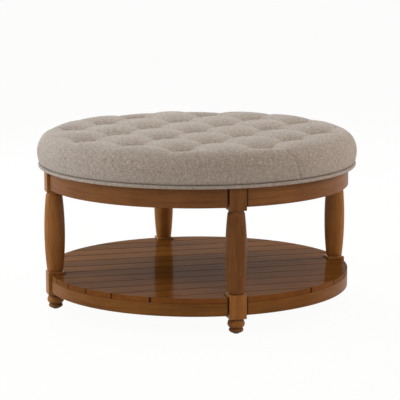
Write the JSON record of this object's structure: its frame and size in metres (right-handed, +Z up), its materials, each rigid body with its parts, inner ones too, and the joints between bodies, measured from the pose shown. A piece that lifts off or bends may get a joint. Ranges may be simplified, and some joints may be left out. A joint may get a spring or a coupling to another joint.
{
  "type": "round ottoman coffee table",
  "caption": "Round coffee table with a deep-tufted linen cushion top, turned legs, a curved apron and a plank shelf below.",
  "frame": {"origin": "on the floor under the middle of the round seat", "axes": "+Z up; two legs stand on the X axis and two on the Y axis, with the shelf planks running along X"},
  "size_m": [0.886, 0.886, 0.4826],
  "materials": {
    "linen": "plain linen weave, greige, matt",
    "stained_wood": "dark walnut stain under satin varnish",
    "bare_wood": "planed, unfinished",
    "plywood": "unfinished plywood",
    "foam": "open-cell foam",
    "twine": "waxed twine and fibre washers",
    "dust_cloth": "black non-woven cloth",
    "glide_plastic": "black moulded",
    "steel": "zinc plated"
  },
  "bodies": {
    "root": {"cushion_cover": "linen", "welt": "linen", "foam_slab": "foam", "seat_board": "plywood", "tuft_ties": "twine", "dust_cover": "dust_cloth", "legs": "stained_wood", "glides": "glide_plastic", "apron_rails": "stained_wood", "shelf_rails": "stained_wood", "shelf_plank_01": "stained_wood", "shelf_plank_02": "stained_wood", "shelf_plank_03": "stained_wood", "shelf_plank_04": "stained_wood", "shelf_plank_05": "stained_wood", "shelf_plank_06": "stained_wood", "shelf_plank_07": "stained_wood", "shelf_plank_08": "stained_wood", "shelf_plank_09": "stained_wood", "shelf_plank_10": "stained_wood", "shelf_plank_11": "stained_wood", "shelf_plank_12": "stained_wood", "shelf_batten_1": "bare_wood", "shelf_batten_2": "bare_wood", "shelf_batten_3": "bare_wood", "seat_corner_blocks": "bare_wood", "shelf_corner_blocks": "bare_wood", "hanger_bolts": "steel", "bolt_nuts": "steel"}
  },
  "joints": []
}
